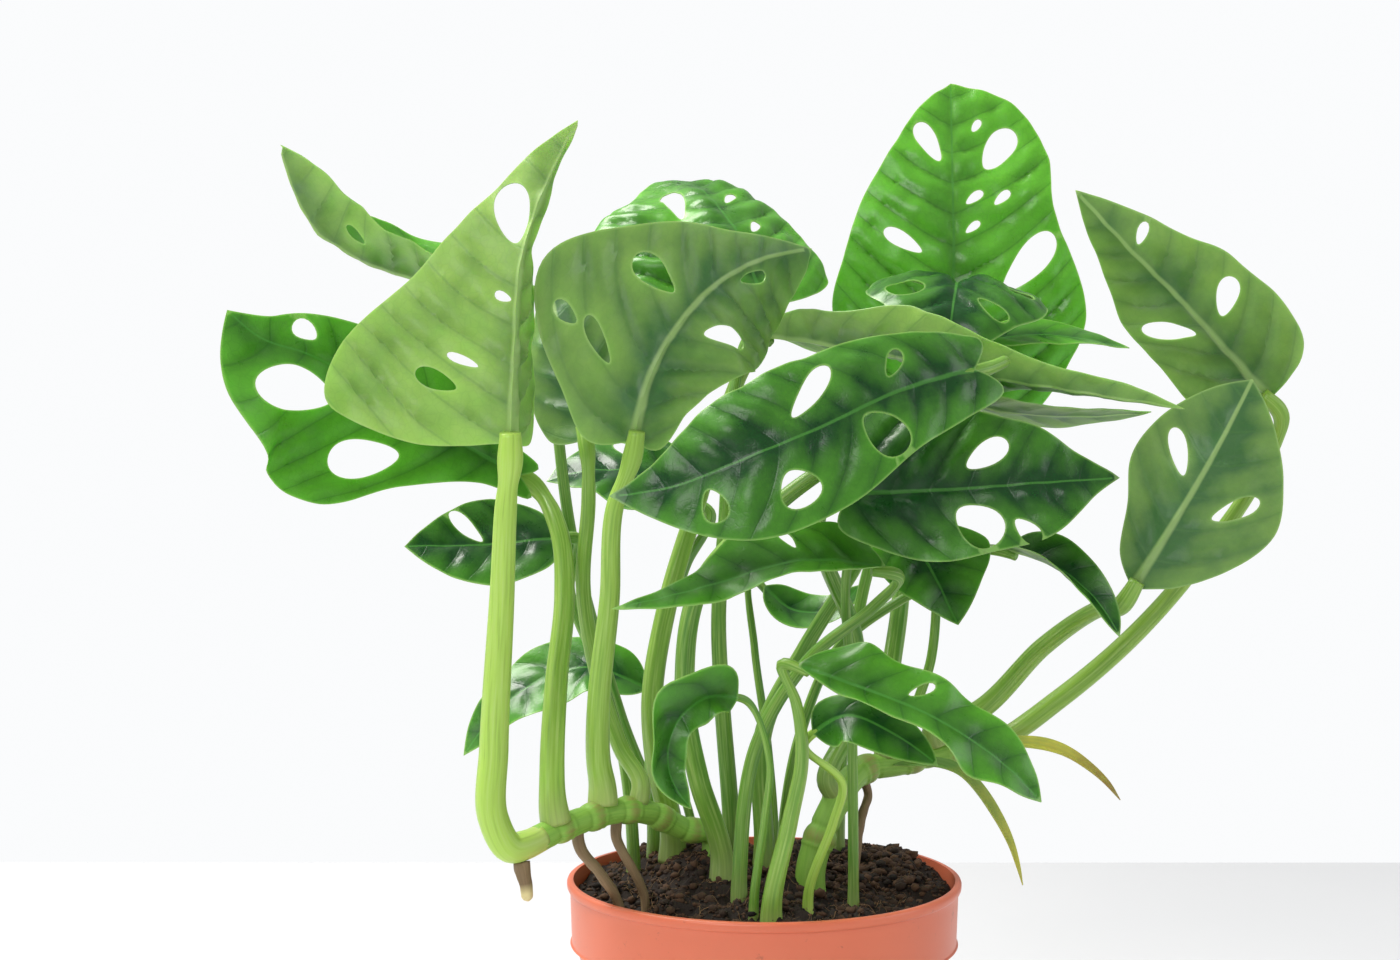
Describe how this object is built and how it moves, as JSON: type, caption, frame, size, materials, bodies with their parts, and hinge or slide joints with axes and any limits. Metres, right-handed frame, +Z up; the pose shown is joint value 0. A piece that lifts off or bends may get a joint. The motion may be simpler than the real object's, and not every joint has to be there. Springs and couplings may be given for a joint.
{
  "type": "potted monstera plant",
  "caption": "Swiss-cheese vine with holed, heart-shaped leaves on long stalks, growing from dark peat in a round terracotta-coloured plastic nursery pot.",
  "frame": {"origin": "centre of the pot's underside, where it stands", "axes": "+Z up along the pot's axis, -Y towards the front of the plant as it is displayed, +X to the viewer's right"},
  "size_m": [0.3106, 0.1932, 0.3522],
  "materials": {
    "pot": "satin moulded plastic",
    "soil": "matte crumbly peat",
    "leaf": "waxy, glossy above and matte below",
    "dry_leaf": "matte, drying",
    "stalk": "satin, finely streaked",
    "stem": "satin, ringed at the nodes",
    "root": "matte bark"
  },
  "bodies": {
    "root": {"blade_back_dark": "leaf", "blade_back_left": "leaf", "blade_centre": "leaf", "blade_centre_left": "leaf", "blade_dry_long": "dry_leaf", "blade_dry_short": "dry_leaf", "blade_far_left": "leaf", "blade_far_right_low": "leaf", "blade_far_right_top": "leaf", "blade_front_left": "leaf", "blade_left_low": "leaf", "blade_low_left": "leaf", "blade_low_right": "leaf", "blade_low_right_under": "leaf", "blade_pointing_down": "leaf", "blade_right": "leaf", "blade_right_back": "leaf", "blade_right_lower": "leaf", "blade_right_upper": "leaf", "blade_rolled": "leaf", "blade_saddle": "leaf", "blade_second_left": "leaf", "blade_tall": "leaf", "blade_top_centre": "leaf", "blade_upper_left": "leaf", "blade_wavy": "leaf", "blade_young": "leaf", "pot": "pot", "root_left_1": "root", "root_left_2": "root", "root_right": "root", "root_stub": "root", "soil": "soil", "stalk_back_dark": "stalk", "stalk_back_left": "stalk", "stalk_centre": "stalk", "stalk_centre_left": "stalk", "stalk_far_left": "stalk", "stalk_far_right_low": "stalk", "stalk_far_right_top": "stalk", "stalk_front_left": "stalk", "stalk_left_low": "stalk", "stalk_low_left": "stalk", "stalk_low_right": "stalk", "stalk_low_right_under": "stalk", "stalk_pointing_down": "stalk", "stalk_right": "stalk", "stalk_right_back": "stalk", "stalk_right_lower": "stalk", "stalk_right_upper": "stalk", "stalk_rolled": "stalk", "stalk_saddle": "stalk", "stalk_second_left": "stalk", "stalk_tall": "stalk", "stalk_top_centre": "stalk", "stalk_upper_left": "stalk", "stalk_wavy": "stalk", "stalk_young": "stalk", "stem_left": "stem", "stem_right": "stem"}
  },
  "joints": []
}
